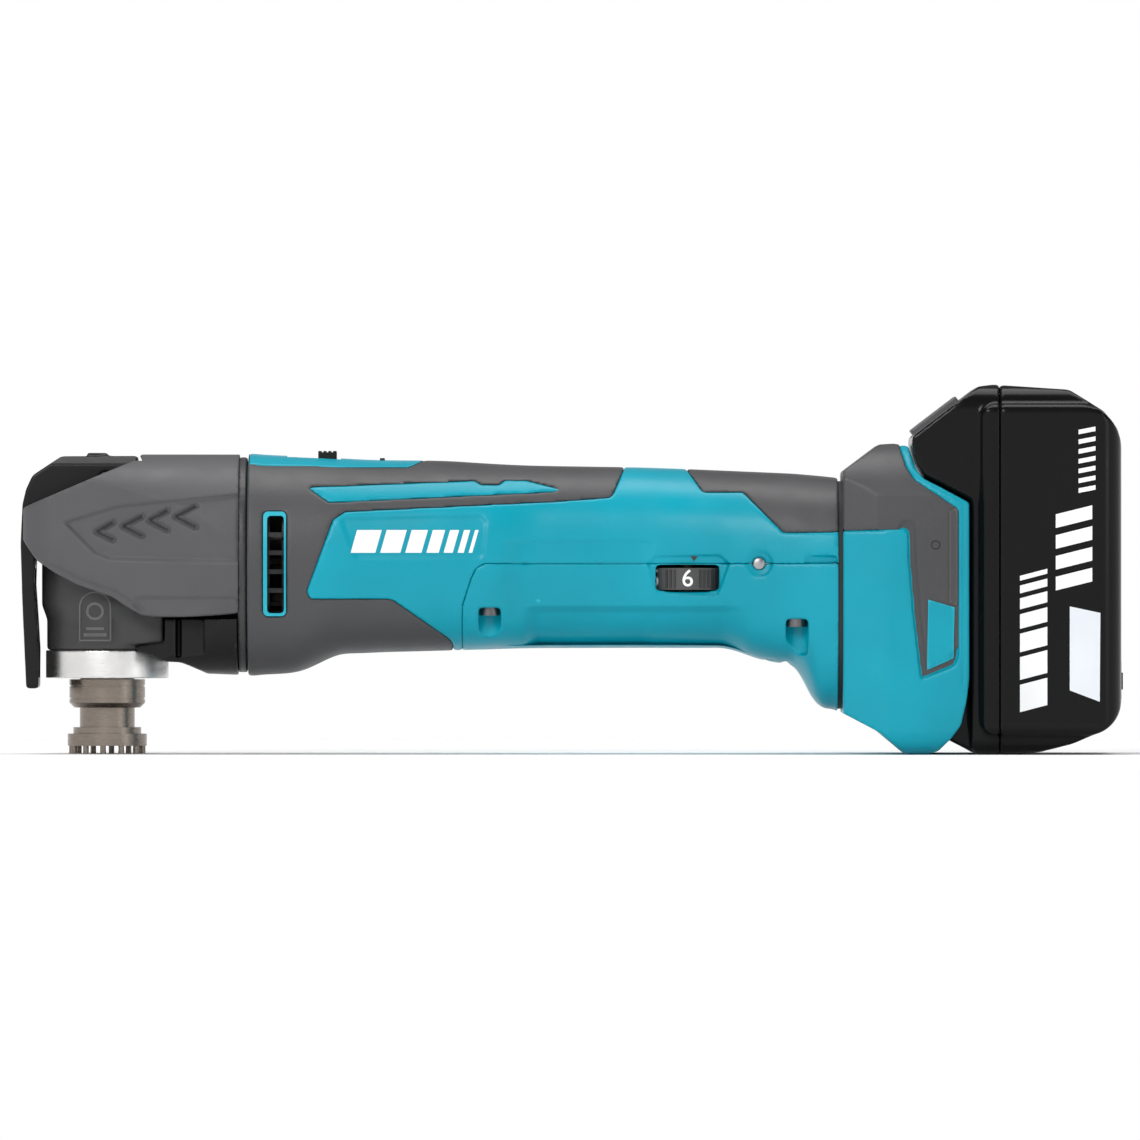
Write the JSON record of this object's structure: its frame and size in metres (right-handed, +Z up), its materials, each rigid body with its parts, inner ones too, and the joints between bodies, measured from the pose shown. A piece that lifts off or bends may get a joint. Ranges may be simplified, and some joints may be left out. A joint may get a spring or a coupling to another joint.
{
  "type": "oscillating multi-tool",
  "caption": "Cordless oscillating multi-tool with a slide-on battery, a tool-free lock lever, a studded swinging spindle, a slide switch and a speed dial.",
  "frame": {"origin": "on the spindle axis, at the flange face that an accessory is clamped to", "axes": "+X from the tool head back to the battery, +Z up along the spindle axis into the head, -Y the left-hand side"},
  "size_m": [0.3402, 0.0772, 0.1139],
  "materials": {
    "teal_plastic": "satin",
    "soft_grip": "matte",
    "head_rubber": "matte",
    "black_plastic": "satin",
    "battery_plastic": "satin",
    "cast_aluminium": "satin",
    "bare_aluminium": "satin",
    "spindle_steel": "satin",
    "bearing_steel": "polished",
    "screw_steel": "satin",
    "core_steel": "satin",
    "can_steel": "satin",
    "magnet": "matte",
    "copper": "satin",
    "brush_brass": "satin",
    "carbon": "matte",
    "insulator": "satin",
    "circuit_board": "satin",
    "lamp_lens": "gloss",
    "cell_sleeve": "satin",
    "nickel_strap": "satin",
    "blade_copper": "satin",
    "lead_sleeve": "satin",
    "grey_plastic": "satin",
    "dial_plastic": "satin",
    "isolator_rubber": "matte"
  },
  "bodies": {
    "housing": {"motor_housing": "teal_plastic", "lower_cover": "teal_plastic", "switch_plate": "teal_plastic", "air_grilles": "teal_plastic", "vent_slats": "black_plastic", "rear_housing_left": "teal_plastic", "rear_housing_right": "teal_plastic", "front_grip": "soft_grip", "rear_grip": "soft_grip", "rear_overmold": "soft_grip", "head_cover": "head_rubber", "gear_housing": "cast_aluminium", "bearing_collar": "bare_aluminium", "dust_seal": "isolator_rubber", "lower_spindle_bearing": "bearing_steel", "upper_spindle_bearing": "bearing_steel", "motor_front_bearing": "bearing_steel", "motor_rear_bearing": "bearing_steel", "lamp_bracket": "black_plastic", "lamp_lens": "lamp_lens", "lever_pin": "screw_steel", "motor_can": "can_steel", "field_magnets": "magnet", "end_bell": "insulator", "brush_holders": "brush_brass", "carbon_brushes": "carbon", "power_switch": "insulator", "controller_board": "circuit_board", "dial_potentiometer": "insulator", "cross_pin": "screw_steel", "housing_screws": "screw_steel", "rear_screws": "screw_steel", "rear_isolator": "isolator_rubber", "terminal_block": "insulator", "terminal_blades": "blade_copper", "power_leads": "lead_sleeve"},
    "spindle": {"spindle": "spindle_steel", "drive_pins": "spindle_steel", "spindle_fork": "spindle_steel"},
    "clamp": {"clamp_rod": "spindle_steel", "clamp_spring": "screw_steel"},
    "rotor": {"motor_shaft": "bearing_steel", "crank_bearing": "bearing_steel", "balance_weight": "spindle_steel", "cooling_fan": "insulator", "armature_core": "core_steel", "armature_windings": "copper", "commutator": "copper"},
    "lever": {"lock_lever": "black_plastic"},
    "slider": {"slide_button": "black_plastic", "switch_link": "insulator"},
    "dial": {"speed_dial": "dial_plastic"},
    "battery": {"battery_front_case": "battery_plastic", "battery_rear_case": "battery_plastic", "battery_cells": "cell_sleeve", "cell_straps": "nickel_strap", "battery_board": "circuit_board", "gauge_panel": "grey_plastic"},
    "latch": {"latch_button": "grey_plastic"},
    "gauge_key": {"gauge_button": "black_plastic"}
  },
  "joints": [
    {"name": "spindle_swing", "type": "hinge", "parent": "housing", "child": "spindle", "pos_m": [0, 0, 0.03], "axis": [0, 0, 1], "range_deg": [-1.6, 1.6]},
    {"name": "motor_spin", "type": "hinge", "parent": "housing", "child": "rotor", "pos_m": [0.07, 0, 0.0563], "axis": [1, 0, 0], "continuous": true},
    {"name": "lever_turn", "type": "hinge", "parent": "housing", "child": "lever", "pos_m": [0, 0, 0.082], "axis": [0, 1, 0], "range_deg": [0, 95]},
    {"name": "clamp_drop", "type": "slide", "parent": "spindle", "child": "clamp", "axis": [0, 0, -1], "range_m": [0, 0.0025], "deforming": ["clamp_spring"]},
    {"name": "switch_slide", "type": "slide", "parent": "housing", "child": "slider", "axis": [-1, 0, 0], "range_m": [0, 0.009]},
    {"name": "dial_turn", "type": "hinge", "parent": "housing", "child": "dial", "pos_m": [0.1793, -0.0156, 0.0515], "axis": [0, 0, 1], "range_deg": [0, 250]},
    {"name": "battery_slide", "type": "slide", "parent": "housing", "child": "battery", "axis": [0, 0, 1], "range_m": [0, 0.085]},
    {"name": "latch_slide", "type": "slide", "parent": "battery", "child": "latch", "axis": [0.7953, 0, 0.6063], "range_m": [0, 0.004], "stiffness_N_per_m": 800, "springref_m": -0.0005},
    {"name": "gauge_press", "type": "slide", "parent": "battery", "child": "gauge_key", "axis": [-1, 0, 0], "range_m": [0, 0.0008], "stiffness_N_per_m": 1200, "springref_m": -0.0002}
  ],
  "couplings": [
    {"joint": "clamp_drop", "follows": "lever_turn", "m_per_rad": 0.0015}
  ]
}
